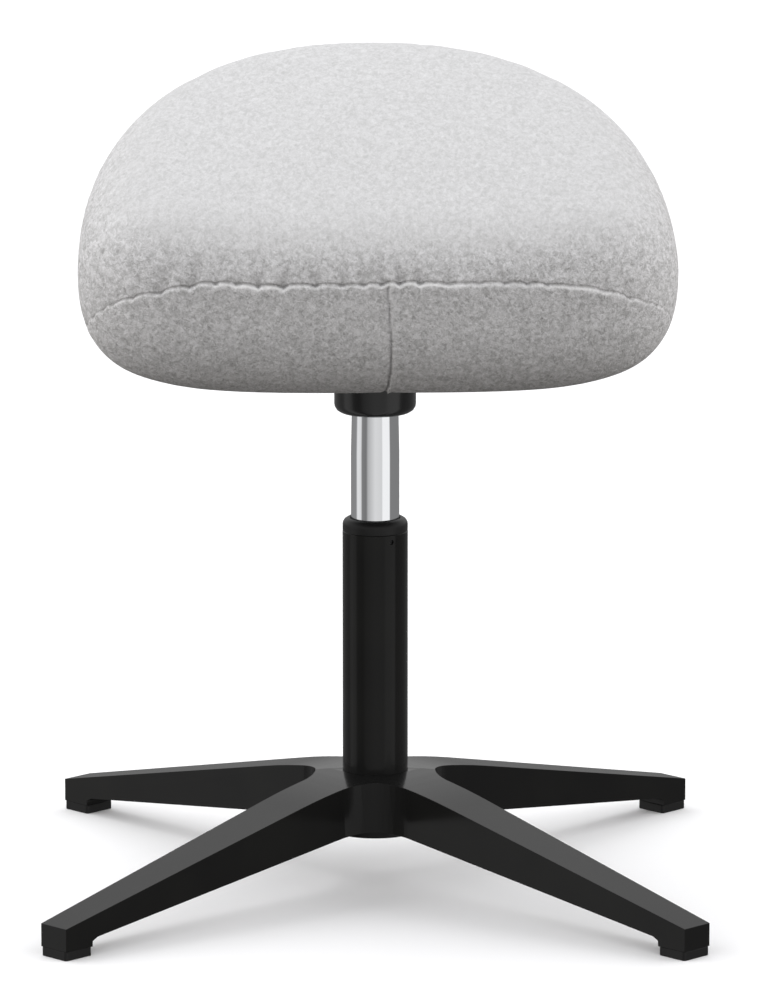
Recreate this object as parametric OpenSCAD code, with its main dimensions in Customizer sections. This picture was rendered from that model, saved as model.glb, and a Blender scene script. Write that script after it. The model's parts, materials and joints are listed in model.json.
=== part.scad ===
// Height-adjustable swivel stool: a felt-covered, forward-sloping seat on a gas column and a four-arm base.
// Millimetres. +Z is up, the floor is z = 0 and the column stands on the Z axis. The seat's front faces -Y.

/* [Seat] */
// Seat width over the upholstery
seat_w = 447; // [430:1:480]
// Seat depth over the upholstery, measured along the slope
seat_d = 450; // [420:1:470]
// Seat thickness, the diameter of its rounded edge
seat_t = 150; // [130:1:160]
// How far the middle of the top stands above its edge
seat_crown = 10; // [4:1:20]
// Slope of the seat, front down
seat_tilt = 13; // [8:0.5:14]
// Direction that the seat is turned to at rest
seat_turn = 1.2; // [-10:0.2:10]
// Height of the seat's underside above the floor, on the column's axis
seat_z = 443; // [440:0.1:446]
// Thickness of the upholstery cloth
cloth_t = 2.2; // [1.5:0.1:3]

/* [Column] */
// Outer diameter of the stand tube
tube_d = 50; // [50:0.5:52]
// Top of the stand tube
tube_top = 275; // [272:1:278]
// Diameter of the chromed cylinder
cylinder_d = 37; // [36:0.5:38]
// Radial running clearance of shafts in bushes
running = 0.05; // [0.03:0.01:0.08]

/* [Base] */
// Radius from the column's axis to the end of an arm
base_r = 337; // [320:1:360]
// Height of the base's top at the hub
hub_top = 90; // [88:0.5:92]
// Height of an arm's top edge at its end
tip_top = 24.5; // [24:0.5:28]
// Arm width at its end
arm_w = 27.2; // [26:0.1:30]
// Distance from the axis to the web between two arms
web_r = 46; // [44:1:50]
// Height of a glide
glide_h = 7; // [6:0.5:8]

/* [Hidden] */
$fn = 64;
eps = 0.01;

// Colours
black_metal = "#1e1e1f";
black_plastic = "#19191a";
chrome = "#c9cbce";
steel = "#9a9da0";
felt = "#c3c3c5";

// Base
taper = 1.59;                                   // each side of an arm leans in by this angle
root_half = arm_w / 2 + base_r * tan(taper);    // half width where the arm's sides meet the axis
bend_u = 100;                                   // outside this radius the arm's top is straight
bend_l = 125;
drop = (hub_top - tip_top) / (base_r - bend_u + bend_l / 2);    // slope of the straight part
underside_root = 48.3;
underside_tip = 9.5;
block_l = 26.4;                                 // length of the foot block along the arm
collar_r = 36;
hub_bottom = 41;
wall = 4;
roof = 5;
glide_u = base_r - block_l / 2;
tube_r = tube_d / 2;
taper_top = 91;
taper_r = tube_r - 0.85;

// Column, from the bottom up
plate_top = 44.5;
race_t = 1.8;
race_r = 13;
ball_r = 1.55;
ball_pitch_r = 9;
ball_z = plate_top + race_t + ball_r + running;
upper_race_z = ball_z + ball_r + running;
rod_shoulder = upper_race_z + race_t;
rod_r = 5;
rod_end_r = 4;
bore_r = 23.2;
bush_bottom = 200;
collar_top = 285;
screw_z = 269.5;
screw_turn = -60;
cylinder_r = cylinder_d / 2;
cylinder_bottom = 145;
cone_bottom = 335;
cylinder_top = 414;
cone_slope = 0.0202;
piston_z = 206;
tube_in_r = 11;

// Seat bracket
floor_z = 408;
sheet = 3;
cheek_y = 27;
box_x = 48;
plate_half = 85;
bolt_half = 65;
pivot = [24, 423];
cover_bottom = 367;
pin_top = 420.5;

// Seat outline: the centre line of the rounded edge, a front and a rear superellipse that meet at the widest
// place
edge_r = seat_t / 2;
half_w = seat_w / 2 - edge_r;
half_d = seat_d / 2 - edge_r;
wide_y = -half_d + 40;
front_n = 3.5;
rear_n = 2.35;
steps = 80;
board_inset = 6;
seat_shift = 17;

function power(v, p) = sign(v) * pow(abs(v), p);
function outline_point(a) =
    let (n = a < 0 ? front_n : rear_n, depth = a < 0 ? half_d + wide_y : half_d - wide_y)
    [half_w * power(cos(a), 2 / n), wide_y + depth * power(sin(a), 2 / n)];
outline = [for (i = [0:steps - 1]) outline_point(-90 + 360 * i / steps - (i > 3 * steps / 4 ? 360 : 0))];
function unit(v) = v / norm(v);
normals = [for (i = [0:steps - 1])
    let (d = outline[(i + 1) % steps] - outline[(i + steps - 1) % steps]) unit([d[1], -d[0]])];
rim = [for (i = [0:steps - 1]) outline[i] + edge_r * normals[i]];
rim_steps = [for (i = [0:steps / 2]) i == 0 ? 0 : norm(rim[i] - rim[i - 1])];
rim_length = [for (i = 0, s = 0; i <= steps / 2; i = i + 1, s = s + (i <= steps / 2 ? rim_steps[i] : 0)) s];
half_rim = rim_length[steps / 2];

// Seam height, as an angle round the rounded edge: high at the front and rear, and down to the underside
// at the sides
seam_high = 26;
seam_low = -88.6;
function seam_at(t, flat, run) = seam_high - (seam_high - seam_low) * pow(max(0, t - flat) / run, 1.85);
function front_seam(i) = max(seam_low, seam_at(rim_length[min(i, steps - i)], 100, 250));
function rear_seam(i) = max(seam_low, seam_at(half_rim - rim_length[min(i, steps - i)], 60, 235));
function seam_angle(i) = max(front_seam(i), rear_seam(i));

function ring(off, z) = [for (i = [0:steps - 1]) [for (c = outline[i] + off * normals[i]) c, z]];
function level_ring(off, z) = [for (p = ring(off, z)) [p[0], p[1], z]];
function edge_point(i, r, a) =
    let (p = outline[i] + r * cos(a) * normals[i]) [p[0], p[1], edge_r + r * sin(a)];
function edge_ring(r, a) = [for (i = [0:steps - 1]) edge_point(i, r, a)];
function top_ring(s, sink) =
    [for (p = outline) [p[0] * s, p[1] * s, seat_t + seat_crown * (1 - s * s) - sink]];
top_scales = [0.75, 0.5, 0.25];

// A solid from closed loops of equal length, each joined to the next. Its ends close to their middles or, for
// the thin folded section of a panel, straight across from one edge of the section to the other.
module skin(loops, folded = false) {
    n = len(loops[0]);
    m = len(loops);
    function mean(l) = [for (k = [0:2]) [for (p = l) p[k]] * [for (p = l) 1] / n];
    points = concat([for (l = loops) for (p = l) p], folded ? [] : [mean(loops[0]), mean(loops[m - 1])]);
    sides = [for (j = [0:m - 2]) for (i = [0:n - 1]) let (a = j * n + i, b = j * n + (i + 1) % n)
        each [[a, a + n, b], [b, a + n, b + n]]];
    e = (m - 1) * n;
    ends = folded
        ? [for (i = [0:n / 2 - 2]) each [[i, i + 1, n - 2 - i, n - 1 - i],
                                         [e + n - 1 - i, e + n - 2 - i, e + i + 1, e + i]]]
        : [for (i = [0:n - 1]) each [[n * m, i, (i + 1) % n], [n * m + 1, e + (i + 1) % n, e + i]]];
    polyhedron(points = points, faces = concat(sides, ends));
}

module each_arm() {
    for (a = [45:90:315]) rotate(a) children();
}

// Everything that turns with the seat
module turned() {
    rotate(seat_turn) children();
}

// The seat's own sloping frame: z = 0 is its underside
module sloped() {
    turned() translate([0, seat_shift, seat_z + seat_shift * tan(seat_tilt)])
        rotate([seat_tilt, 0, 0]) children();
}

// A hollow round part between two radii
module sleeve(outer, inner, bottom, top) {
    translate([0, 0, bottom]) difference() {
        cylinder(r = outer, h = top - bottom);
        translate([0, 0, -1]) cylinder(r = inner, h = top - bottom + 2);
    }
}

// ---------- base ----------

function arm_top(u) = u > bend_u
    ? tip_top + drop * (base_r - u)
    : hub_top - drop / (2 * bend_l) * pow(max(0, u - bend_u + bend_l), 2);
function arm_half(u) = root_half - u * tan(taper);
function arm_bottom(u) =
    underside_tip + (underside_root - underside_tip) * (base_r - u) / (base_r - collar_r);
fillet_c = (web_r - root_half * cos(taper)) / (1 - (1 + tan(taper)) * cos(taper) / sqrt(2));
fillet_r = fillet_c - web_r;
fillet_xy = fillet_c / sqrt(2);
tangent_u = fillet_xy - fillet_r * sin(taper);

module arm_plan() {
    difference() {
        polygon([[0, 0], [fillet_xy, -fillet_xy], [tangent_u, -arm_half(tangent_u)], [base_r, -arm_w / 2],
                 [base_r, arm_w / 2], [tangent_u, arm_half(tangent_u)], [fillet_xy, fillet_xy]]);
        for (s = [-1, 1]) translate([fillet_xy, s * fillet_xy]) circle(r = fillet_r);
    }
}

module arm_profile() {
    inner = base_r - block_l;
    polygon(concat(
        [for (u = [0:12.5:bend_u]) [u, arm_top(u)]],
        [[base_r, tip_top], [base_r, glide_h], [inner, glide_h], [inner, glide_h + 4],
         [inner - 5, arm_bottom(inner - 5)], [collar_r, underside_root], [0, underside_root]]));
}

// One cast pocket under an arm, between two ribs
module arm_pocket(from, to) {
    intersection() {
        linear_extrude(hub_top)
            polygon([[from, -arm_half(from) + wall], [to, -arm_half(to) + wall],
                     [to, arm_half(to) - wall], [from, arm_half(from) - wall]]);
        rotate([90, 0, 0]) linear_extrude(2 * root_half, center = true)
            polygon([[from, 0], [to, 0], [to, arm_top(to) - roof], [from, arm_top(from) - roof]]);
    }
}

module star_base() color(black_metal) {
    pockets = [58, 100, 104, 162, 166, 230, 234, 300];
    difference() {
        union() {
            each_arm() intersection() {
                linear_extrude(hub_top) arm_plan();
                rotate([90, 0, 0]) linear_extrude(3 * fillet_xy, center = true) arm_profile();
            }
            translate([0, 0, hub_bottom]) cylinder(r = collar_r, h = 15);
        }
        translate([0, 0, hub_bottom - eps])
            cylinder(r1 = taper_r, r2 = tube_r, h = taper_top - hub_bottom);
        each_arm() {
            for (k = [0:2:6]) arm_pocket(pockets[k], pockets[k + 1]);
            translate([glide_u, 0, glide_h - 1]) cylinder(r = 2.02, h = 13.5);
        }
    }
}

module glide_at(angle) color(black_plastic) rotate(angle) translate([glide_u, 0, 0]) {
    corner = 2.5;
    x = block_l / 2 - corner;
    y = arm_w / 2 - corner;
    difference() {
        linear_extrude(glide_h) {
            square([2 * x + 2 * corner, 2 * y], center = true);
            square([2 * x, 2 * y + 2 * corner], center = true);
            for (sx = [-1, 1], sy = [-1, 1]) translate([sx * x, sy * y]) circle(r = corner);
        }
        translate([0, 0, -1]) cylinder(r = 4.8, h = 4.6);
        translate([0, 0, -1]) cylinder(r = 2.3, h = glide_h + 2);
    }
}

module glide_screws() color(steel) each_arm() translate([glide_u, 0, 0]) difference() {
    union() {
        translate([0, 0, 1]) cylinder(r = 4.4, h = 2.5);
        translate([0, 0, 2]) cylinder(r = 2, h = 17);
    }
    for (a = [0, 90]) rotate(a) translate([-2.4, -0.5, 0]) cube([4.8, 1, 2.2]);
}

// ---------- column: parts that stay with the base ----------

module stand_tube() color(black_metal) difference() {
    rotate_extrude() polygon([[bore_r, hub_bottom], [taper_r, hub_bottom], [tube_r, taper_top],
                              [tube_r, tube_top - 0.5], [tube_r - 0.5, tube_top], [bore_r, tube_top]]);
    rotate(screw_turn) translate([bore_r - 1, 0, screw_z]) rotate([0, 90, 0]) cylinder(r = 1.85, h = 4);
}

module tube_end_plate() color(steel) sleeve(bore_r - 0.02, rod_end_r + running, hub_bottom, plate_top);

module lower_race() color(steel) sleeve(race_r, rod_end_r + 0.5, plate_top, plate_top + race_t);

module guide_bush() color(black_plastic) difference() {
    shoulder = 5;
    hole = cylinder_r + running;
    rotate_extrude() polygon(concat(
        [[hole, bush_bottom], [bore_r - 0.05, bush_bottom], [bore_r - 0.05, tube_top], [tube_r, tube_top]],
        [for (a = [0:15:90])
            [tube_r - shoulder + shoulder * cos(a), collar_top - shoulder + shoulder * sin(a)]],
        [[hole + 0.8, collar_top], [hole, collar_top - 0.8]]));
    rotate(screw_turn) translate([bore_r - 4, 0, screw_z]) rotate([0, 90, 0]) cylinder(r = 1.52, h = 5);
}

module bush_screw() color(black_metal)
    rotate(screw_turn) translate([bore_r - 3.8, 0, screw_z]) rotate([0, 90, 0]) difference() {
        cylinder(r = 1.5, h = 4);
        translate([0, 0, 2.8]) cylinder(r = 0.75, h = 2, $fn = 6);
    }

// ---------- column: thrust bearing, rod and piston ----------

module bearing_balls() color(steel)
    for (a = [0:36:324]) rotate(a) translate([ball_pitch_r, 0, ball_z]) sphere(r = ball_r);

module ball_cage() color("#b08d4a") difference() {
    sleeve(race_r - 1, rod_end_r + 1, ball_z - 0.6, ball_z + 0.6);
    for (a = [0:36:324]) rotate(a)
        translate([ball_pitch_r, 0, ball_z - 1]) cylinder(r = ball_r + 0.07, h = 2);
}

module upper_race() color(steel) sleeve(race_r, rod_end_r + 0.02, upper_race_z, rod_shoulder);

module bump_stop() color(black_plastic) sleeve(15, rod_r + 0.05, rod_shoulder + 0.02, 70);

module piston_rod() color(chrome) rotate_extrude() polygon([
    [0, 35.5], [3.6, 35.5], [rod_end_r, 36], [rod_end_r, 38], [3.2, 38], [3.2, 39.2], [rod_end_r, 39.2],
    [rod_end_r, rod_shoulder], [rod_r, rod_shoulder], [rod_r, piston_z], [3, piston_z], [3, piston_z + 21],
    [0, piston_z + 21]]);

module rod_washer() color(steel) sleeve(9, rod_end_r + 0.05, 39.3, hub_bottom - 0.1);

module rod_clip() color(steel) difference() {
    sleeve(6.6, 3.25, 38.05, 39.15);
    translate([0, -2.6, 37]) cube([10, 5.2, 4]);
}

module piston() color(steel) difference() {
    sleeve(tube_in_r - running, 3.02, piston_z, piston_z + 16);
    sleeve(tube_in_r + 1, tube_in_r - 2, piston_z + 6.5, piston_z + 9.5);
}

module piston_ring() color(black_plastic)
    sleeve(tube_in_r - running, tube_in_r - 1.98, piston_z + 6.55, piston_z + 9.45);

module piston_nut() color(steel) difference() {
    translate([0, 0, piston_z + 16]) cylinder(r = 5.8, h = 4, $fn = 6);
    translate([0, 0, piston_z + 15]) cylinder(r = 3.02, h = 6);
}

// ---------- column: gas cylinder, which carries the seat ----------

function cone_r(z) = cylinder_r - cone_slope * (z - cone_bottom);

module gas_cylinder() color(chrome) turned() rotate_extrude() polygon([
    [16.3, cylinder_bottom], [cylinder_r - 0.8, cylinder_bottom], [cylinder_r, cylinder_bottom + 0.8],
    [cylinder_r, cone_bottom], [cone_r(cylinder_top), cylinder_top], [13.75, cylinder_top], [13.75, 384],
    [16.3, 384]]);

module pressure_tube() color(steel) turned() sleeve(13, tube_in_r, 172.05, 383.95);

module rod_guide() color(steel) turned() difference() {
    sleeve(16.28, rod_r + running, 149, 172);
    sleeve(17, 15, 158, 161);
}

module rod_seal() color(black_plastic) turned() sleeve(16.28, rod_r + running, 145.5, 148.95);

module valve_body() color(steel) turned() difference() {
    sleeve(13.73, 3 + running, 384, cylinder_top);
    sleeve(15, 12, 395, 398);
}

module valve_pin() color(steel) turned() rotate_extrude() polygon([
    [0, 396], [3, 396], [3, pin_top - 0.8], [2.2, pin_top], [0, pin_top]]);

// ---------- seat bracket and lever ----------

module cone_cover() color(black_plastic) turned() rotate_extrude() {
    r = 31.2;
    edge = 6;
    polygon(concat(
        [[18.7, cover_bottom], [18.7, cover_bottom + 3], [25.7, cover_bottom + 3], [25.7, 402], [r, 402]],
        [for (a = [0:-15:-90]) [r - edge + edge * cos(a), cover_bottom + edge + edge * sin(a)]]));
}

module plate_outline(half, corner) {
    square([2 * half, 2 * half - 2 * corner], center = true);
    square([2 * half - 2 * corner, 2 * half], center = true);
    for (x = [-1, 1], y = [-1, 1]) translate([x * (half - corner), y * (half - corner)]) circle(r = corner);
}

module at_bolts() {
    for (x = [-1, 1], y = [-1, 1]) translate([x * bolt_half, y * bolt_half, 0]) children();
}

// Pressed box under the top plate: a floor with the cone socket and two cheeks that carry the lever's pin
module bracket_box() {
    translate([-box_x, -cheek_y - sheet, floor_z]) cube([2 * box_x, 2 * (cheek_y + sheet), sheet]);
    for (y = [-cheek_y - sheet, cheek_y]) translate([-box_x, y, floor_z]) cube([2 * box_x, sheet, 60]);
    translate([0, 0, cover_bottom + 4]) cylinder(r = 25.5, h = floor_z - cover_bottom - 3);
}

module seat_bracket() color(black_metal) difference() {
    union() {
        sloped() translate([0, 0, -sheet]) linear_extrude(sheet) plate_outline(plate_half, 12);
        difference() {
            turned() bracket_box();
            sloped() translate([-100, -100, -1]) cube([200, 200, 100]);
        }
    }
    turned() {
        translate([0, 0, 360]) cylinder(r1 = cone_r(360), r2 = cone_r(420), h = 60);
        translate([pivot[0], 0, pivot[1]]) rotate([90, 0, 0]) cylinder(r = 3.02, h = 80, center = true);
    }
    sloped() at_bolts() translate([0, 0, -sheet - 1]) cylinder(r = 4.3, h = sheet + 2);
}

module lever_pivot() color(steel) turned() translate([pivot[0], 0, pivot[1]]) rotate([90, 0, 0]) {
    cylinder(r = 3, h = 2 * (cheek_y + sheet) + 3, center = true);
    for (s = [-1, 1]) translate([0, 0, s * (cheek_y + sheet + 1)]) cylinder(r = 4.2, h = 1.9, center = true);
}

module bracket_bolts() color(steel) sloped() at_bolts() difference() {
    union() {
        translate([0, 0, -9.6]) cylinder(r = 6.5, h = 5);
        translate([0, 0, -5]) cylinder(r = 4, h = 20);
    }
    translate([0, 0, -9.7]) cylinder(r = 2.9, h = 3, $fn = 6);
}

module bolt_washers() color(steel) sloped() at_bolts() sleeve(8, 4.2, -4.6, -sheet);

module tee_nuts() color(steel) sloped() at_bolts() {
    sleeve(5, 4.03, 2.8, 14.7);
    sleeve(10, 4.03, 14.7, 16);
}

// A round bar between two points in the X-Z plane
module bar(from, to, r) {
    d = to - from;
    translate([from[0], 0, from[1]]) rotate([0, atan2(d[0], d[1]), 0]) cylinder(r = r, h = norm(d));
}

lever_knee = [66, 414];
lever_end = [164, 414];
module lever_rod() color(black_metal) turned() difference() {
    union() {
        translate([-7, -5, pin_top + 0.3]) cube([pivot[0] + 7, 10, 5.2]);
        translate([pivot[0], 0, pivot[1]]) rotate([90, 0, 0]) cylinder(r = 6, h = 12, center = true);
        bar(pivot + 4.5 * unit(lever_knee - pivot), lever_knee, 3.5);
        translate([lever_knee[0], 0, lever_knee[1]]) sphere(r = 4);
        bar(lever_knee, lever_end, 3.5);
    }
    translate([pivot[0], 0, pivot[1]]) rotate([90, 0, 0]) cylinder(r = 3 + running, h = 20, center = true);
}

module lever_grip() color(black_plastic) turned() difference() {
    half = 9;
    reach = [138, 178];
    union() {
        translate([0, 0, lever_end[1] - 5.5]) linear_extrude(11) {
            translate([reach[0], -half]) square([reach[1] - reach[0], 2 * half]);
            for (x = reach) translate([x, 0]) circle(r = half);
        }
    }
    translate([120, 0, lever_end[1]]) rotate([0, 90, 0]) cylinder(r = 3.52, h = lever_end[0] - 120 + 0.2);
}

// ---------- seat ----------

module seat_board() color("#c49a63") sloped() difference() {
    translate([0, 0, 2.7]) linear_extrude(12)
        polygon([for (i = [0:steps - 1]) outline[i] - board_inset * normals[i]]);
    at_bolts() cylinder(r = 5.03, h = 20);
}

module underside_cloth() color(black_plastic) sloped() difference() {
    translate([0, 0, 0.05]) linear_extrude(2.5)
        polygon([for (i = [0:steps - 1]) outline[i] - 0.6 * normals[i]]);
    at_bolts() translate([0, 0, -1]) cylinder(r = 5.03, h = 5);
}

module foam_core() color("#d8d2b4") sloped() {
    r = edge_r - cloth_t - 2.5;
    cavity = board_inset - 0.4;
    skin(concat(
        [level_ring(-cavity, 16.3), level_ring(-cavity, edge_r - r)],
        [for (a = [-90:15:90]) edge_ring(r, a)],
        [for (s = top_scales) top_ring(s, edge_r - r)]));
}

rows = 12;
function panel_ring(r, j) = [for (i = [0:steps - 1])
    let (a = seam_angle(i)) edge_point(i, r, a + (90 - a) * j / rows)];

module cover_top() color(felt) sloped() skin(concat(
    [for (k = [2:-1:0]) top_ring(top_scales[k], cloth_t)],
    [for (j = [rows:-1:0]) panel_ring(edge_r - cloth_t, j)],
    [for (j = [0:rows]) panel_ring(edge_r, j)],
    [for (s = top_scales) top_ring(s, 0)]));

// The right half of a lens-shaped end panel, from the seam at outline point `from` to its tip, going round by
// `side`; `flip` makes the left half
panel_gap = 0.35;
function panel_seam(from, i) = from == 0 ? front_seam(i) : rear_seam(i);
function panel_loop(from, i, clear) =
    let (top = panel_seam(from, i) - panel_gap)
    concat([for (j = [0:rows]) edge_point(i, edge_r, -90 + (top + 90) * j / rows) + [clear, 0, 0]],
           [for (j = [rows:-1:0])
               edge_point(i, edge_r - cloth_t, -90 + (top + 90) * j / rows) + [clear, 0, 0]]);

module end_panel(from, side, flip) color(felt) sloped() mirror([flip, 0, 0]) {
    around = [for (k = [0:steps / 2 - 1]) (from + side * k + steps) % steps];
    reach = len([for (i = around) if (panel_seam(from, i) > seam_low) 1]);
    loops = [for (k = [0:reach]) panel_loop(from, around[k], k == 0 ? 0.25 : 0)];
    skin(side > 0 ? loops : [for (k = [reach:-1:0]) loops[k]], folded = true);
}

star_base();
glide_at(225);  // glide_front_left
glide_at(315);  // glide_front_right
glide_at(135);  // glide_rear_left
glide_at(45);  // glide_rear_right
glide_screws();
stand_tube();
tube_end_plate();
lower_race();
guide_bush();
bush_screw();
ball_cage();
bearing_balls();
piston_rod();
piston();
piston_ring();
piston_nut();
upper_race();
bump_stop();
rod_washer();
rod_clip();
gas_cylinder();
pressure_tube();
rod_guide();
rod_seal();
valve_body();
seat_bracket();
cone_cover();
lever_pivot();
bracket_bolts();
bolt_washers();
tee_nuts();
seat_board();
foam_core();
underside_cloth();
cover_top();
end_panel(0, 1, 1);  // cover_front_left
end_panel(0, 1, 0);  // cover_front_right
end_panel(steps / 2, -1, 1);  // cover_rear_left
end_panel(steps / 2, -1, 0);  // cover_rear_right
lever_rod();
lever_grip();
valve_pin();
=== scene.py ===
"""A height-adjustable swivel stool: felt seat, gas column, four-arm base. Lengths in this file are in
millimetres unless a name ends in _M; the scene is in metres."""

import json
import math

import bmesh
import bpy
import numpy as np
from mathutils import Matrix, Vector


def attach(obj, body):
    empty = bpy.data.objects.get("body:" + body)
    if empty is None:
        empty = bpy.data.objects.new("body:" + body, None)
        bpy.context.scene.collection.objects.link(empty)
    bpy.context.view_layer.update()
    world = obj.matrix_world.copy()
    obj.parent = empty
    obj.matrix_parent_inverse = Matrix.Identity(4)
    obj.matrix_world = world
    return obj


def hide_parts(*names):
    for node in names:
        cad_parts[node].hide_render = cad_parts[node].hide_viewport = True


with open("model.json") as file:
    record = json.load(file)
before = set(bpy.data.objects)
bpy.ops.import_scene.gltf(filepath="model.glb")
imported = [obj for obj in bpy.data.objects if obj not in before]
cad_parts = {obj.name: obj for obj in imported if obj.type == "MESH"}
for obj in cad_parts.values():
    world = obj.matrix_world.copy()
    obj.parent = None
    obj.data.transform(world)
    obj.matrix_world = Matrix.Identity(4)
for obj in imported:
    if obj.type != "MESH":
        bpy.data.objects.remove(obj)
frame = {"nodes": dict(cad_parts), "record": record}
nodes = frame["nodes"]
slots = {s["node"]: s["material_slot"] for s in frame["record"]["subparts"]}
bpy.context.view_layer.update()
MM = 0.001

# ---------- seat sizes, as in the CAD ----------

SEAT_W, SEAT_D, SEAT_T = 447, 450, 150
CROWN = 10  # the middle of the top stands this far above its edge
TILT = math.radians(13)  # slope, front down
TURN = math.radians(1.2)  # how far the seat is turned on the column
SEAT_Z = 443  # height at which the sloping underside crosses the column's axis
SEAT_SHIFT = 17  # the underside's middle lies this far behind the axis
EDGE_R = SEAT_T / 2
FRONT_N, REAR_N = 3.5, 2.35  # squareness of the plan at the front and at the rear
WIDE_Y = 40 - (SEAT_D / 2 - EDGE_R)  # the plan line is widest 40 behind its front end
SEAM_HIGH, SEAM_LOW = 26, -128  # degrees round the edge: at the middle of the front, and under the sides
FINE = 20  # plan points to a degree, before the columns are spaced out
CROWDING = 0.6  # how much closer than on average the columns stand at the middle of the front and rear


def seat_to_row(points):
    """Places points given in the seat's frame: tilts them about X, lifts them, then turns them about Z."""
    c, s = math.cos(TILT), math.sin(TILT)
    x, y, z = points[..., 0], points[..., 1], points[..., 2]
    y, z = y * c - z * s + SEAT_SHIFT, y * s + z * c + SEAT_Z + SEAT_SHIFT * math.tan(TILT)
    c, s = math.cos(TURN), math.sin(TURN)
    return np.stack([x * c - y * s, x * s + y * c, z], -1) * MM


def outward(line):
    """Unit normals of a closed plan line that runs anticlockwise."""
    d = np.roll(line, -1, 0) - np.roll(line, 1, 0)
    n = np.stack([d[:, 1], -d[:, 0]], -1)
    return n / np.linalg.norm(n, axis=1)[:, None]


def seat_outline(columns):
    """The plan line that the seat's rounded edge is centred on: |x/a|^n + |(y - y0)/b|^n = 1, with one n and
    b in front of the widest place and others behind it. Returns the points, their normals, each one's
    distance round the rim from the middle of the front, and half the rim's length."""
    a = np.radians(-90 + np.arange(360 * FINE) / FINE)
    c, s = np.cos(a), np.sin(a)
    n = np.where(s < 0, FRONT_N, REAR_N)
    reach = np.where(s < 0, SEAT_D / 2 - EDGE_R + WIDE_Y, SEAT_D / 2 - EDGE_R - WIDE_Y)
    line = np.stack([(SEAT_W / 2 - EDGE_R) * np.sign(c) * np.abs(c) ** (2 / n),
                     WIDE_Y + reach * np.sign(s) * np.abs(s) ** (2 / n)], -1)
    normals = outward(line)
    rim = line + EDGE_R * normals
    steps = np.linalg.norm(np.roll(rim, -1, 0) - rim, axis=1)
    along = np.concatenate([[0], np.cumsum(steps)])
    half = along[-1] / 2
    w = np.arange(columns) / columns
    t = along[-1] * (w - CROWDING * np.sin(4 * np.pi * w) / (4 * np.pi))
    place = np.interp(t, along, np.arange(len(line) + 1))
    k, f = place.astype(int), (place % 1)[:, None]
    pick = lambda table: table[k % len(line)] * (1 - f) + table[(k + 1) % len(line)] * f
    return pick(line), pick(normals), np.where(t > half, t - 2 * half, t), half


# ---------- meshes ----------

SHARP = math.radians(35)  # an edge that bends by more than this is rounded or stays sharp
FLAT = math.radians(0.4)  # triangles that meet at less than this are one flat face
MERGE_M = 2e-6  # points closer than this are one point
ARC_POINTS, AROUND = 5, 144  # points on each arc of a turned profile, and steps round the axis


def mesh_piece(name, points, faces, body, material, replaced=()):
    """A new piece from row-frame points and faces, smooth-shaded, riding on a body."""
    mesh = bpy.data.meshes.new(name)
    faces = faces.tolist() if isinstance(faces, np.ndarray) else faces
    mesh.from_pydata(points.reshape(-1, 3).tolist(), [], faces)
    mesh.polygons.foreach_set("use_smooth", np.ones(len(mesh.polygons), bool))
    mesh.materials.append(material)
    mesh.update()
    piece = bpy.data.objects.new(name, mesh)
    bpy.context.collection.objects.link(piece)
    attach(piece, body)
    if replaced:
        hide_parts(*replaced)
    return piece


def smooth_by_angle(piece):
    """Smooth shading that breaks at the sharp edges."""
    with bpy.context.temp_override(object=piece, active_object=piece, selected_objects=[piece],
                                   selected_editable_objects=[piece]):
        bpy.ops.object.shade_smooth_by_angle(angle=SHARP)


def grid_faces(rows, columns, around=False, up=False, first=0):
    """Quads of a grid whose points are numbered row by row from `first`; `around` joins the last column to
    the first, and `up` the last row to the first."""
    j, i = np.meshgrid(np.arange(rows if up else rows - 1), np.arange(columns if around else columns - 1),
                       indexing="ij")
    j2, i2 = (j + 1) % rows, (i + 1) % columns
    quads = np.stack([j * columns + i, j * columns + i2, j2 * columns + i2, j2 * columns + i], -1)
    return quads.reshape(-1, 4) + first


def patch(ring, side):
    """Fills a closed ring with a grid by a Coons patch: the two ruled surfaces between opposite sides, added,
    less the bilinear surface of the corners. The first corner is `side` points before the ring's start.
    Returns the grid's points and, for each, the number of the ring point that it repeats, or -1."""
    count = len(ring)
    across, back = 2 * side, count // 2 - 2 * side
    index = (np.arange(count) - side) % count
    front, right = index[: across + 1], index[across: across + back + 1]
    rear = index[across + back: 2 * across + back + 1][::-1]
    left = np.append(index[2 * across + back:], index[0])[::-1]
    u, v = np.linspace(0, 1, across + 1)[None, :, None], np.linspace(0, 1, back + 1)[:, None, None]
    f, r, le, ri = ring[front][None], ring[rear][None], ring[left][:, None], ring[right][:, None]
    corners = ((1 - u) * (1 - v) * f[:, :1] + u * (1 - v) * f[:, -1:]
               + (1 - u) * v * r[:, :1] + u * v * r[:, -1:])
    points = (1 - v) * f + v * r + (1 - u) * le + u * ri - corners
    same = -np.ones((back + 1, across + 1), int)
    same[0], same[-1], same[:, 0], same[:, -1] = front, rear, left, right
    return points, same


def softened(name, width, segments, body, material):
    """A CAD node with its sharp edges rounded: a merged copy, its flat triangles joined, then bevelled."""
    mesh = nodes[name].data.copy()
    b = bmesh.new()
    b.from_mesh(mesh)
    bmesh.ops.remove_doubles(b, verts=b.verts, dist=MERGE_M)
    bmesh.ops.dissolve_limit(b, angle_limit=FLAT, verts=b.verts, edges=b.edges)
    b.to_mesh(mesh)
    b.free()
    mesh.materials.clear()
    mesh.materials.append(material)
    piece = bpy.data.objects.new(name + "_soft", mesh)
    bpy.context.collection.objects.link(piece)
    bevel = piece.modifiers.new("rounded edges", "BEVEL")
    bevel.width, bevel.segments = width * MM, segments
    bevel.limit_method, bevel.angle_limit = "ANGLE", SHARP
    smooth_by_angle(piece)
    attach(piece, body)
    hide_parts(name)


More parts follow.
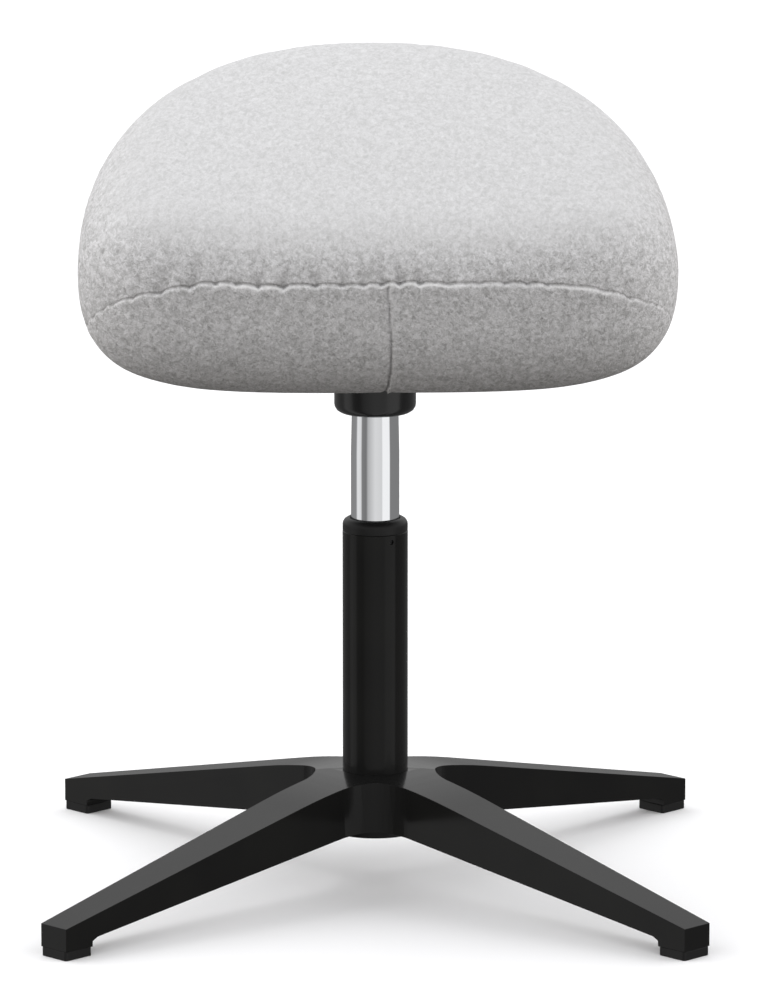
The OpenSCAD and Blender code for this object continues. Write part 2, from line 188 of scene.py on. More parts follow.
def rounded(corners):
    """A closed profile of (r, z, radius) corners, each turned into an arc that starts and ends
    radius / tan(half the corner's angle) from it, where the arc is tangent to the two sides."""
    points = []
    for k, (r, z, radius) in enumerate(corners):
        p = np.array([r, z], float)
        a = np.array(corners[k - 1][:2], float) - p
        c = np.array(corners[(k + 1) % len(corners)][:2], float) - p
        a, c = a / np.linalg.norm(a), c / np.linalg.norm(c)
        if not radius:
            points.append(p)
            continue
        half = math.acos(max(-1, min(1, float(a @ c)))) / 2
        start = p + a * radius / math.tan(half)
        end = p + c * radius / math.tan(half)
        centre = p + (a + c) / np.linalg.norm(a + c) * radius / math.sin(half)
        for t in np.linspace(0, 1, ARC_POINTS):
            d = (start - centre) * (1 - t) + (end - centre) * t
            points.append(centre + d / np.linalg.norm(d) * radius)
    return np.array(points)


def turned(name, corners, body, material):
    """A turned copy of a CAD node: its closed profile (r, z) carried round the column's axis,
    (r cos a, r sin a, z)."""
    profile = rounded(corners)
    a = np.linspace(0, 2 * np.pi, AROUND, endpoint=False)
    points = np.stack([profile[:, :1] * np.cos(a), profile[:, :1] * np.sin(a),
                       np.broadcast_to(profile[:, 1:], (len(profile), AROUND))], -1) * MM
    faces = grid_faces(len(profile), AROUND, around=True, up=True)
    piece = mesh_piece(name + "_soft", points, faces, body, material, (name,))
    smooth_by_angle(piece)


# ---------- materials ----------


def linear(code):
    """An sRGB hex colour as linear RGBA."""
    c = [int(code[k: k + 2], 16) / 255 for k in (0, 2, 4)]
    return tuple(v / 12.92 if v <= 0.04045 else ((v + 0.055) / 1.055) ** 2.4 for v in c) + (1.0,)


def add(tree, kind, inputs=(), **settings):
    """Adds a shader node. An input is set to a value, or linked if the value is another node's output."""
    node = tree.nodes.new("ShaderNode" + kind)
    for key, value in settings.items():
        setattr(node, key, value)
    for key, value in dict(inputs).items():
        if isinstance(value, bpy.types.NodeSocket):
            tree.links.new(value, node.inputs[key])
        else:
            node.inputs[key].default_value = value
    return node


def ramp(tree, value, *stops):
    """A colour ramp of (place, hex colour) stops over a value from 0 to 1."""
    node = add(tree, "ValToRGB", {"Fac": value})
    while len(node.color_ramp.elements) < len(stops):
        node.color_ramp.elements.new(0.5)
    for element, (place, colour) in zip(node.color_ramp.elements, stops):
        element.position, element.color = place, linear(colour)
    return node.outputs["Color"]


def surface(name, **shader):
    """A material with one Principled shader. Returns the material, its tree, the shader and the Object
    coordinates."""
    material = bpy.data.materials.new(name)
    material.use_nodes = True
    tree = material.node_tree
    tree.nodes.clear()
    principled = add(tree, "BsdfPrincipled", shader)
    add(tree, "OutputMaterial", {"Surface": principled.outputs["BSDF"]})
    place = add(tree, "TexCoord").outputs["Object"]
    return material, tree, principled, place


def noise(tree, place, size, detail=2.0, rough=0.5, bend=0.0):
    """3-D noise whose lumps are about `size` millimetres across."""
    return add(tree, "TexNoise", {"Vector": place, "Scale": 1 / (size * MM), "Detail": detail,
                                  "Roughness": rough, "Distortion": bend}).outputs["Fac"]


def stretched(tree, place, scale):
    """Coordinates multiplied by `scale` on each axis: a pattern on them is drawn out where it is below 1."""
    return add(tree, "Mapping", {"Vector": place, "Scale": scale}).outputs["Vector"]


def bumped(tree, principled, height, depth, strength):
    """Feeds a height, 0 to 1, into the shader's normal as relief `depth` millimetres deep."""
    bump = add(tree, "Bump", {"Height": height, "Distance": depth * MM, "Strength": strength})
    tree.links.new(bump.outputs["Normal"], principled.inputs["Normal"])


def mixed(tree, amount, a, b, blend="MIX"):
    """Mixes two colours; each may be a socket, a hex colour or linear RGBA."""
    node = add(tree, "Mix", data_type="RGBA", blend_type=blend)
    for key, value in ((0, amount), (6, a), (7, b)):
        if isinstance(value, bpy.types.NodeSocket):
            tree.links.new(value, node.inputs[key])
        else:
            node.inputs[key].default_value = linear(value) if isinstance(value, str) else value
    return node.outputs[2]


def sums(tree, operation, *values):
    """One step of arithmetic on values or sockets."""
    return add(tree, "Math", dict(enumerate(values)), operation=operation).outputs[0]


def melange_felt():
    """Pressed wool felt in light grey: no weave, a cloudy mix of paler and darker fibres, and a soft nap. The
    nap is flatter where the attribute `worn` is high. The attribute `painted_seam_highlight` paints a
    highlight and `painted_seam_shade` paints shade along the seams, as paler and darker felt."""
    m, t, shader, place = surface("melange wool felt", Roughness=0.92,
                                  **{"Sheen Weight": 0.03, "Sheen Roughness": 0.5, "Specular IOR Level": 0.2})
    times = lambda a, b: sums(t, "MULTIPLY", a, b)
    laid = stretched(t, place, (1.0, 0.5, 1.0))  # the fibres run to the front
    tufts = noise(t, laid, 4.4, 3.0, 0.62, 0.7)  # clumps of one shade of wool, 2 to 4 mm
    strands = noise(t, laid, 2.2, 3.0, 0.55, 1.2)  # single strands, drawn a little coarser than they are
    clouds = noise(t, place, 30, 2.0)
    base = ramp(t, tufts, (0.36, "929291"), (0.50, "b6b6b7"), (0.64, "d0d0d1"))
    base = mixed(t, 0.5, base, ramp(t, strands, (0.34, "8f8f8f"), (0.5, "b8b8b9"), (0.66, "d9d9dc")))
    # dark flecks, 1 to 2 mm across, in about half of the 7 mm cells
    fleck = add(t, "TexVoronoi", {"Vector": place, "Scale": 1 / (7 * MM), "Randomness": 1.0},
                feature="F1").outputs
    speck = ramp(t, fleck["Distance"], (0.07, "ffffff"), (0.15, "000000"))
    some = sums(t, "GREATER_THAN", add(t, "SeparateColor", {0: fleck["Color"]}).outputs[0], 0.45)
    base = mixed(t, times(times(speck, some), 0.45), base, "6c6a68")
    # dark threads, where a winding noise passes through its middle
    thread = sums(t, "ABSOLUTE", sums(t, "SUBTRACT", noise(t, place, 5.2, 2.0, 0.6, 2.4), 0.5))
    dark = ramp(t, thread, (0.0, "ffffff"), (0.018, "000000"))
    base = mixed(t, times(dark, 0.22), base, "777778")
    base = mixed(t, times(clouds, 0.10), base, "a9a9a8")
    # the seams' painted highlight and painted shade, and the worn top, come from the cushion's attributes
    painted_seam_highlight, painted_seam_shade, worn = (add(t, "Attribute", attribute_name=name).outputs["Fac"]
                             for name in ("painted_seam_highlight", "painted_seam_shade", "worn"))
    base = mixed(t, times(worn, 0.6), base, "b7b7b7")
    # painted highlight: paler felt on the seam's lip and on the lapped side of the upright seam
    base = mixed(t, times(painted_seam_highlight, 0.65), base, "e6e6e6")
    # painted shade: darker felt in the dimples above the seam, along the stitch line and down the upright
    # seam
    base = mixed(t, times(painted_seam_shade, 0.34), base, "5c5a58")
    t.links.new(base, shader.inputs["Base Color"])
    nap = sums(t, "ADD", times(strands, 0.7), times(tufts, 0.9))
    nap = times(nap, sums(t, "SUBTRACT", 1.0, times(worn, 0.75)))
    bumped(t, shader, nap, 0.92, 0.7)
    return m


def powder_coat():
    """Satin black powder coat on metal: an even black film with a faint orange peel."""
    m, t, shader, place = surface("satin black powder coat", **{"Specular IOR Level": 0.13})
    bumped(t, shader, noise(t, place, 1.6, 2.0), 0.02, 0.5)
    t.links.new(ramp(t, noise(t, place, 4, 3.0), (0.3, "636363"), (0.7, "6b6b6b")),
                shader.inputs["Roughness"])
    t.links.new(ramp(t, noise(t, place, 60, 2.0), (0.3, "151515"), (0.7, "191918")),
                shader.inputs["Base Color"])
    return m


def moulded_plastic(name, colour, gloss, grain, shine=0.2):
    """Injection-moulded plastic: even colour, with the mould's fine texture in its relief."""
    m, t, shader, place = surface(name, Roughness=gloss, **{"Specular IOR Level": shine})
    bumped(t, shader, noise(t, place, 0.9, 2.0), grain, 0.6)
    tint = mixed(t, noise(t, place, 25, 2.0), colour, "101010")
    t.links.new(tint, shader.inputs["Base Color"])
    return m


def chrome_plate():
    """Bright chrome over a ground steel tube: a mirror with the faintest wiping haze along it."""
    m, t, shader, place = surface("polished chrome plate", Metallic=1.0, **{"Base Color": linear("e3e4e6")})
    haze = noise(t, stretched(t, place, (1.0, 1.0, 0.08)), 6, 2.0)
    t.links.new(ramp(t, haze, (0.3, "2e2e2e"), (0.7, "3c3c3c")), shader.inputs["Roughness"])
    return m


def oxidised_steel():
    """Black-oxide steel: a dark, slightly oily conversion film."""
    m, t, shader, place = surface("black-oxide steel", Metallic=0.6, Roughness=0.4)
    t.links.new(ramp(t, noise(t, place, 2, 3.0), (0.3, "1d1d1f"), (0.7, "29292b")),
                shader.inputs["Base Color"])
    return m


def plated_steel():
    """Zinc-plated or turned steel: grey metal with a fine uneven grain."""
    m, t, shader, place = surface("zinc-plated steel", Metallic=1.0)
    t.links.new(ramp(t, noise(t, place, 2.5, 3.0), (0.3, "8b8b8b"), (0.7, "a5a5a5")),
                shader.inputs["Roughness"])
    t.links.new(ramp(t, noise(t, place, 9, 3.0), (0.3, "a9abae"), (0.7, "bfc1c4")),
                shader.inputs["Base Color"])
    return m


def plywood():
    """Birch plywood: pale faces, and light and dark plies, about 4.7 mm thick, on its edge. A wave texture
    has 20 / (2 pi) waves to a unit."""
    m, t, shader, place = surface("birch plywood", Roughness=0.6)
    level = add(t, "Mapping", {"Vector": place, "Rotation": (-TILT, 0, 0)}).outputs["Vector"]
    plies = add(t, "TexWave", {"Vector": level, "Scale": 1 / (4.8 * MM) / 6.283, "Distortion": 0.4},
                bands_direction="Z").outputs["Fac"]
    grain = noise(t, stretched(t, place, (1, 0.06, 1)), 1.5, 4.0)
    t.links.new(mixed(t, sums(t, "MULTIPLY", grain, 0.5), ramp(t, plies, (0.3, "b98f5b"), (0.6, "dcbc8a")),
                      "c79f6b"), shader.inputs["Base Color"])
    return m


def brass():
    """Pressed brass strip: warm yellow metal, slightly dulled."""
    m, t, shader, place = surface("pressed brass", Metallic=1.0, Roughness=0.35)
    t.links.new(ramp(t, noise(t, place, 3, 3.0), (0.3, "b8913f"), (0.7, "cfa958")),
                shader.inputs["Base Color"])
    return m


def lining_cloth():
    """Spun-bonded lining: thin black non-woven cloth with small pressed points about 2.5 mm apart."""
    m, t, shader, place = surface("black non-woven lining", Roughness=0.85)
    points = add(t, "TexVoronoi", {"Vector": place, "Scale": 1 / (2.5 * MM), "Randomness": 0.15},
                 feature="F1").outputs["Distance"]
    bumped(t, shader, points, 0.25, 0.7)
    t.links.new(ramp(t, points, (0.1, "141415"), (0.5, "242425")), shader.inputs["Base Color"])
    return m


felt = melange_felt()
coat = powder_coat()
matt_black = moulded_plastic("grained black polypropylene", "181818", 0.42, 0.03)
gloss_black = moulded_plastic("glossy black ABS", "151515", 0.22, 0.006, 0.4)
rubber = moulded_plastic("black rubber", "1c1c1c", 0.7, 0.04)
chrome = chrome_plate()
steel = plated_steel()
black_oxide = oxidised_steel()
birch = plywood()
cage_brass = brass()
lining = lining_cloth()

BY_SLOT = {
    "black_powder_coat": coat,
    "black_plastic": matt_black,
    "gloss_black_plastic": gloss_black,
    "chrome_plate": chrome,
    "plain_steel": steel,
    "brass_cage": cage_brass,
    "black_rubber": rubber,
    "grey_wool_felt": felt,
    "black_oxide_steel": black_oxide,
    "black_lining": lining,
    "seat_foam": felt,
    "birch_plywood": birch,
}
for node_name, slot_name in slots.items():
    node_mesh = nodes[node_name].data
    node_mesh.materials.clear()
    node_mesh.materials.append(BY_SLOT[slot_name])

# ---------- seat ----------

COLUMNS, SIDE = 400, 60  # points round the rim, and from the middle of the front to the top patch's corner
LOW_ROWS, HIGH_ROWS = 54, 50  # rows below the seam and above it
ROW_CROWDING = 2.8  # rows stand e^2.8 times closer at the seam than at the far end
UPRIGHT_T = 4.0  # the front panels' seam is sewn this far to the right of the middle
UNDER_S = [-64, -24, -21, -9, -4.5, -1.5, 0]  # the wrap under the board: distance before the edge's start,
UNDER_IN = [48, 8, 5.4, 5.2, 4.8, 2.2, 0]  # how far that is inside the plan line,
UNDER_UP = [16.6, 16.6, 15, 4, 2.9, 0.3, 0]  # and how far above the underside
FAR = 400  # distance from the seam that the top and the underside are given, beyond its reach
SETTLE_FRAMES, PRESSURE = 20, 4.0
CREASE_ROUNDS, FORM_ROUNDS = 3, 220  # smoothing that leaves the creases, and that leaves only the form


def smooth_step(x, start, end):
    """0 up to start, 1 from end on, and t^2 (3 - 2 t) between them."""
    t = np.clip((x - start) / (end - start), 0, 1)
    return t * t * (3 - 2 * t)


def bell(x, middle, width):
    """A bump of height 1: exp(-((x - middle)/width)^2)."""
    return np.exp(-(((x - middle) / width) ** 2))


def fade(x, reach):
    """1 at the start, falling away as exp(-x/reach)."""
    return np.exp(-x / reach)


def pull(t):
    """How hard the stitches pull, 0 to 1, at t mm round the rim: one dimple about every 18 mm, unevenly
    spaced and of uneven strength, the cube of a cosine whose phase wanders."""
    wave = 0.5 + 0.5 * np.cos(2 * np.pi * t / 18 + 1.6 * np.sin(t / 17.3) + 1.3 * np.sin(t / 41))
    return wave ** 3 * (0.68 - 0.18 * np.tanh(t / 60) + 0.24 * np.sin(t / 13.7 + 0.4))


def seam_line(t, half):
    """Distance up the edge's section, from the underside, at which the seam runs at t mm round the rim: level
    across the front and the rear, then down to the underside at the sides as the 1.9th power of the distance.
    It wanders by a millimetre, and dips where a stitch pulls it."""
    wander = 0.9 * np.sin(t / 31 + 0.7) + 0.5 * np.sin(t / 11.3) - 2.4 * pull(t)
    t = np.abs(t)
    front = SEAM_HIGH - 130 * (np.maximum(0, t - 105) / 250) ** 1.9
    rear = SEAM_HIGH - 130 * (np.maximum(0, half - t - 60) / 235) ** 1.9
    return EDGE_R * np.radians(np.maximum(SEAM_LOW, np.maximum(front, rear)) + 90) + wander


def squareness(normal, upper):
    """Exponent of the edge's section, where 2 is a half circle: the upper half has a fuller shoulder at the
    front, and the lower half is fuller at the sides, where the foam is squeezed over the board's edge."""
    front, rear = smooth_step(-normal[..., 1], 0.25, 0.95), smooth_step(normal[..., 1], 0.25, 0.95)
    return np.where(upper, 2.09 + 0.66 * front - 0.07 * rear, 2.49 - 0.35 * front - 0.49 * rear)


def section(base, normal, s):
    """A point of the edge's section: along the underside and up the board's edge for s < 0, then round a half
    circle of radius EDGE_R that swells to |x|^m + |z|^m = 1."""
    inset = np.interp(s, UNDER_S, UNDER_IN)
    rise = np.interp(s, UNDER_S, UNDER_UP)
    a = s / EDGE_R - np.pi / 2
    c, d = np.cos(a), np.sin(a)
    m = squareness(normal, d > 0)
    r = EDGE_R * (np.abs(c) ** m + np.abs(d) ** m) ** (-1 / m)
    out = np.where(s < 0, -inset, r * c)
    z = np.where(s < 0, rise, EDGE_R + r * d)
    return np.concatenate([base + out[..., None] * normal, z[..., None]], -1)


def cushion_points():
    """The upholstered seat in its own frame. Rows run from under the board, round the edge, to where the
    crown starts; a row lies on the seam all the way round. The top is a Coons patch raised by
    CROWN (1 - q^2), where q is the distance from the middle over that of the rim in the same direction, and
    the edge's arc ends where its slope is the crown's. Returns the points, the faces, and for each point its
    place t round the rim, its distance x above the seam, its height s up the section and its kind: 0 on the
    edge, 1 on the top, -1 underneath. The last value is half the rim's length."""
    base, normal, t, half = seat_outline(COLUMNS)
    seam = seam_line(t, half)
    radius = np.linalg.norm(base, axis=1)
    stop = EDGE_R * (np.pi - np.arctan((2 * CROWN / radius) ** (1 / (squareness(normal, True) - 1))))
    low, high = np.linspace(1, 0, LOW_ROWS)[:-1], np.linspace(0, 1, HIGH_ROWS)
    ease = lambda v: (np.exp(ROW_CROWDING * v) - 1) / (math.exp(ROW_CROWDING) - 1)
    s = np.concatenate([seam - (seam - UNDER_S[0]) * ease(low)[:, None],
                        seam + (stop - seam) * ease(high)[:, None]])
    band = section(np.broadcast_to(base, s.shape + (2,)), np.broadcast_to(normal, s.shape + (2,)), s)
    rows = len(s)
    top, same_top = patch(band[-1], SIDE)
    angle = np.arctan2(band[-1, :, 1], band[-1, :, 0])
    order = np.argsort(angle)
    reach = np.linalg.norm(band[-1, :, :2], axis=1)
    at = np.arctan2(top[..., 1], top[..., 0])
    q = np.linalg.norm(top[..., :2], axis=-1) / np.interp(at, angle[order], reach[order], period=2 * np.pi)
    edge_z = np.interp(at, angle[order], band[-1, order, 2], period=2 * np.pi)
    top[..., 2] = edge_z + CROWN * (1 - np.minimum(q, 1) ** 2)
    under, same_under = patch(band[0], SIDE)
    points = [band.reshape(-1, 3)]
    faces = [grid_faces(rows, COLUMNS, around=True)]
    facts = [np.stack([np.broadcast_to(t, s.shape), s - seam, s, np.zeros_like(s)], -1).reshape(-1, 4)]
    first = rows * COLUMNS
    for grid, same, ring_row, kind in ((top, same_top, rows - 1, 1), (under, same_under, 0, -1)):
        number = np.where(same >= 0, ring_row * COLUMNS + same, 0)
        free = same < 0
        number[free] = first + np.arange(free.sum())
        points.append(grid[free])
        fact = np.zeros((free.sum(), 4))
        fact[:, 1], fact[:, 3] = kind * FAR, kind
        facts.append(fact)
        quads = np.stack([number[:-1, :-1], number[:-1, 1:], number[1:, 1:], number[1:, :-1]], -1)
        faces.append(quads.reshape(-1, 4)[:, ::kind])
        first += free.sum()
    return np.concatenate(points), np.concatenate(faces), np.concatenate(facts), half


def stitch_relief(t, x, s, kind, half):
    """Relief of the seams, in mm outwards. Along the seam line: a thin groove, deepest at hard-pulled
    stitches; above it a dimple at each of those, leaning with the height and fading over 9 mm, with slack
    cloth swelling between them; below it a lip that rises at once and fades over 8 mm. Down the middle of the
    front and rear: a bowed groove whose right side is lapped over the left. The seam line calms down towards
    its ends at the sides. Also returns, 0 to 1, where a highlight is painted on the lip and on the lapped
    side, and where shade is painted in the dimples, along the stitch line and down the upright seam."""
    shown = smooth_step(s, -2, 14) * (kind == 0)
    calm = 1 - 0.8 * smooth_step(np.minimum(np.abs(t), half - np.abs(t)), 125, 240)
    up, down = np.maximum(x, 0), np.maximum(-x, 0)
    sewn = smooth_step(down, 0.5, 4)  # the upright seam starts just below the seam line
    leaning = pull(t + 0.45 * x * np.sin(t / 83 + 0.4))
    groove = -(0.7 + 1.5 * pull(t)) * bell(x, 0.8, 0.8)
    above = (1.5 - 5.2 * leaning) * fade(up, 9) * (1 - fade(up, 1.8))
    lip = (2.7 - 1.2 * pull(t + 6) + 0.5 * np.sin(t / 23)) * fade(down, 8) * (1 - fade(down, 1.3))
    bow = UPRIGHT_T + 3.6 * np.sin(np.pi * np.clip(down / 115, 0, 1))
    off = np.where(np.abs(t) < half / 2, t - bow, np.where(t > 0, half - t, -half - t) + bow)
    upright = (-1.7 * bell(off, 0, 1.1) + 1.3 * bell(off, 2.1, 1.4) - 0.8 * fade(np.abs(off), 9)) * sewn
    # painted highlight: on the lip just below the seam, and on the lapped right side of the upright seam
    painted_seam_highlight = ((0.6 + 0.3 * np.sin(t / 19)) * bell(x, -1.2, 0.9) * shown
              + 0.35 * bell(off, 1.9, 1.2) * shown * (x < -2))
    # painted shade: in the dimples above the seam, along the stitch line, and down the upright seam's groove
    painted_seam_shade = (leaning * fade(up, 8) * (x > 0) + 0.6 * calm * bell(x, 0.7, 0.8)
               + 0.6 * bell(off, 0, 0.9) * sewn) * shown
    relief = ((groove + above + lip) * calm + upright) * shown
    return relief, np.clip(painted_seam_highlight * calm, 0, 1), np.clip(painted_seam_shade, 0, 1)


def smoothed(values, faces, rounds):
    """Rows of values, each averaged half and half with its neighbours' mean, `rounds` times over."""
    a, b = faces.ravel(), np.roll(faces, -1, 1).ravel()
    links = np.bincount(a)[:, None]
    for _ in range(rounds):
        total = np.stack([np.bincount(a, values[b, k]) for k in range(values.shape[1])], -1)
        values = (values + total / links) / 2
    return values


def inflate(cut, gathered, faces, held, cap):
    """Lets the cover settle as cloth under the foam's push: it was cut to the points `cut` and starts from
    the points `gathered`, where the stitches keep the `held` ones. Returns how far each point moved from the
    cut's shape, less what its neighbourhood did, at most `cap` mm: the foam keeps the form, and the cloth
    adds its creases."""
    mesh = bpy.data.meshes.new("cover settling")
    mesh.from_pydata((cut * MM).tolist(), [], faces.tolist())
    form = bpy.data.objects.new("cover settling", mesh)
    bpy.context.collection.objects.link(form)
    form.shape_key_add(name="cut", from_mix=False)
    sewn = form.shape_key_add(name="sewn", from_mix=False)
    sewn.data.foreach_set("co", (gathered * MM).ravel())
    sewn.value = 1.0
    group = form.vertex_groups.new(name="held")
    group.add(np.nonzero(held)[0].tolist(), 1.0, "REPLACE")
    cloth = form.modifiers.new("cloth", "CLOTH")
    kit = cloth.settings
    kit.rest_shape_key = mesh.shape_keys.key_blocks["cut"]
    kit.use_pressure, kit.uniform_pressure_force = True, PRESSURE
    kit.effector_weights.gravity = 0.0
    kit.vertex_group_mass = "held"
    kit.quality = 4
    kit.mass = 0.6
    kit.tension_stiffness = kit.compression_stiffness = 25
    kit.shear_stiffness, kit.bending_stiffness = 15, 1.5
    scene = bpy.context.scene
    for number in range(SETTLE_FRAMES):
        scene.frame_set(number + 1)
    settled = form.evaluated_get(bpy.context.evaluated_depsgraph_get()).to_mesh()
    moved = np.empty(len(cut) * 3, np.float32)
    settled.vertices.foreach_get("co", moved)
    move = moved.reshape(-1, 3) / MM - cut
    bpy.data.objects.remove(form)
    scene.frame_set(1)
    move = smoothed(move, faces, CREASE_ROUNDS) - smoothed(move, faces, FORM_ROUNDS)
    length = np.linalg.norm(move, axis=1)[:, None]
    return move * np.minimum(1, cap / np.maximum(length, 1e-6))


def point_normals(points, faces):
    """Area-weighted unit normals of a quad mesh."""
    a, b = points[faces[:, 2]] - points[faces[:, 0]], points[faces[:, 3]] - points[faces[:, 1]]
    n = np.cross(a, b)
    total = np.zeros_like(points)
    for k in range(4):
        np.add.at(total, faces[:, k], n)
    return total / np.maximum(np.linalg.norm(total, axis=1), 1e-9)[:, None]


def make_cushion():
    """The seat's cover over its foam: the form, the creases of the settled cloth, then the seams' relief. The
    cloth starts gathered along the seam and drawn in at the stitches, both fading over 10 mm. The felt's
    attributes: a painted highlight on the seams' folds, painted shade in their dimples and grooves, and the
    sat-on top."""
    points, faces, facts, half = cushion_points()
    t, x, s, kind = facts.T
    normals = point_normals(points, faces)
    held = (np.abs(x) < 0.6) & (kind == 0) & (s > -4) | (s < 2) & (kind == 0) | (kind < 0)
    near = (fade(np.abs(x), 10) * (kind == 0) * smooth_step(s, 4, 20))[:, None]
    along = np.stack([-normals[:, 1], normals[:, 0], 0 * t], -1)
    gather = 1.1 * np.sin(2 * np.pi * t / 19 + 1.4 * np.sin(t / 17.3))[:, None]
    gathered = points + near * (gather * along - 1.2 * pull(t)[:, None] * normals)
    loose = 0.2 + 0.8 * fade(np.abs(x), 32)  # the foam holds the cloth still away from the stitches
    points = points + loose[:, None] * inflate(points, gathered, faces, held, 3.0)
    # the seams' relief, and where a highlight and shade are painted along them
    relief, painted_seam_highlight, painted_seam_shade = stitch_relief(t, x, s, kind, half)
    points = points + normals * relief[:, None]
    piece = mesh_piece("seat_cushion", seat_to_row(points), faces, "seat", felt,
                       ("cover_top", "cover_front_left", "cover_front_right", "cover_rear_left",
                        "cover_rear_right", "foam_core"))
    worn = smooth_step(normals[:, 2], 0.35, 0.95)
    # the painted highlight, the painted shade and the worn top, stored for the felt
    for name, amounts in (("painted_seam_highlight", painted_seam_highlight), ("painted_seam_shade", painted_seam_shade), ("worn", worn)):
        piece.data.attributes.new(name, "FLOAT", "POINT").data.foreach_set("value", amounts)


make_cushion()

# ---------- underside ----------

LINING_IN = 5.0  # the lining's hem lies this far inside the seat's plan line
LINING_Z, LINING_T = 1.0, 0.7  # height in the seat's frame, and thickness
LINING_SAG, PUCKER, HEM_T = 0.8, 0.35, 0.5
LINING_COLUMNS = 224
STAPLES, STAPLE_IN = 56, 9.0
STAPLE_W, STAPLE_T = 9.0, 0.9
STAPLE_Z = LINING_Z - 0.75
RINGS, CORNERS = 7, 8  # a staple's mesh: rings along it, and points on each


def make_lining():
    """The dust cover stapled under the seat: rings of the plan outline drawn in towards the middle, sagging
    by LINING_SAG (1 - q^2), where q is 1 at the hem and 0 in the middle. It puckers as often as it is
    stapled, and its outer rings are a turned-in hem, HEM_T proud."""
    base, normal, t, half = seat_outline(LINING_COLUMNS)
    hem = base - LINING_IN * normal
    q = np.concatenate([[1.0, 0.985, 0.97, 0.955, 0.94], np.linspace(0.9, 0.04, 26)])[:, None, None]
    plan = hem * q
    staple = np.cos(np.pi * STAPLES * t / half)
    near = np.exp(-((1 - q[..., 0]) / 0.05) ** 2)
    z = LINING_Z - LINING_SAG * (1 - q[..., 0] ** 2) * np.ones_like(t) + PUCKER * staple * near
    z = z - HEM_T * smooth_step(q[..., 0], 0.945, 0.96)
    grid = np.concatenate([plan, z[..., None]], -1)
    middle = np.array([[0, 0, float(z[-1].mean())]])
    faces = grid_faces(len(q), len(base), around=True).tolist()
    last = (len(q) - 1) * len(base)
    faces += [[last + k, last + (k + 1) % len(base), len(q) * len(base)] for k in range(len(base))]
    points = np.concatenate([grid.reshape(-1, 3), middle])
    piece = mesh_piece("underside_lining", seat_to_row(points), faces, "seat", lining,
                       ("underside_cloth",))
    thick = piece.modifiers.new("cloth thickness", "SOLIDIFY")
    thick.thickness, thick.offset = LINING_T * MM, -1


def make_staples():
    """Flat crowns of the staples through the lining's hem: short bars, evenly round the edge, whose ends
    narrow as the root of 1 - |x|^6."""
    base, normal, _, _ = seat_outline(STAPLES)
    a = np.radians(np.arange(0, 360, 360 / CORNERS) + 180 / CORNERS)
    end = STAPLE_T / 2
    loop = np.stack([np.cos(a) * end, np.sin(a) * end], -1)
    points, faces = [], []
    for k, (centre, out) in enumerate(zip(base - STAPLE_IN * normal, normal)):
        along = np.array([-out[1], out[0]])
        for step in np.linspace(-1, 1, RINGS):
            round_off = math.sqrt(max(0.05, 1 - abs(step) ** 6))
            ring = centre + along * step * STAPLE_W / 2 + out * loop[:, :1] * round_off
            points.append(np.column_stack([ring, STAPLE_Z + loop[:, 1] * round_off]))
        first = k * RINGS * CORNERS
        last = first + (RINGS - 1) * CORNERS
        faces += grid_faces(RINGS, CORNERS, around=True, first=first).tolist()
        faces += [[first + i for i in reversed(range(CORNERS))], [last + i for i in range(CORNERS)]]
    piece = mesh_piece("lining_staples", seat_to_row(np.concatenate(points)), faces, "seat", steel)
    b = bmesh.new()
    b.from_mesh(piece.data)
    bmesh.ops.recalc_face_normals(b, faces=b.faces)
    b.to_mesh(piece.data)
    b.free()


make_lining()
make_staples()

# ---------- column and base: rounding in mm, then the arc's segments ----------

softened("star_base", 1.8, 3, "base", coat)
for corner in ("front_left", "front_right", "rear_left", "rear_right"):
    softened("glide_" + corner, 0.7, 2, "base", matt_black)
softened("stand_tube", 0.3, 2, "base", coat)
turned("guide_bush", [(18.57, 200, 0.3), (23.15, 200, 0.3), (23.15, 275, 0), (24.9, 275, 0.3), (25, 285, 5.2),
                      (19.6, 285, 0.7), (18.57, 283.4, 0.3)], "base", matt_black)
cone = lambda z: 18.5 - 0.0202 * (z - 335)  # radius of the cylinder's cone at height z
turned("gas_cylinder", [(16.3, 145, 0.2), (18.5, 145, 0.8), (18.5, 335, 0), (cone(414), 414, 0.5),
                        (13.75, 414, 0.2), (13.75, 384, 0), (16.3, 384, 0)], "seat", chrome)
turned("cone_cover", [(18.75, 367, 0.4), (31.2, 367, 6.5), (31.2, 402, 0.6), (25.7, 402, 0.4),
                      (25.7, 370, 0.5), (18.75, 370, 0.3)], "seat", gloss_black)
softened("seat_bracket", 0.6, 2, "seat", coat)
softened("lever_rod", 0.3, 2, "lever", coat)
softened("lever_grip", 2.5, 4, "lever", matt_black)
softened("bracket_bolts", 0.4, 2, "seat", steel)
softened("seat_board", 0.5, 1, "seat", birch)

# ---------- studio ----------


def make_floor():
    """A pale floor that takes the shadows. The object is lit through it, so that the floor's own brightness
    doesn't wash out the object's shadow side."""
    bpy.ops.mesh.primitive_circle_add(vertices=96, radius=40, fill_type="NGON")
    floor = bpy.context.object
    floor.name = "floor"
    pale = surface("pale floor", Roughness=1.0, **{"Base Color": linear("fafafa"), "Specular IOR Level": 0.0})
    floor.data.materials.append(pale[0])
    floor.visible_diffuse = floor.visible_glossy = False


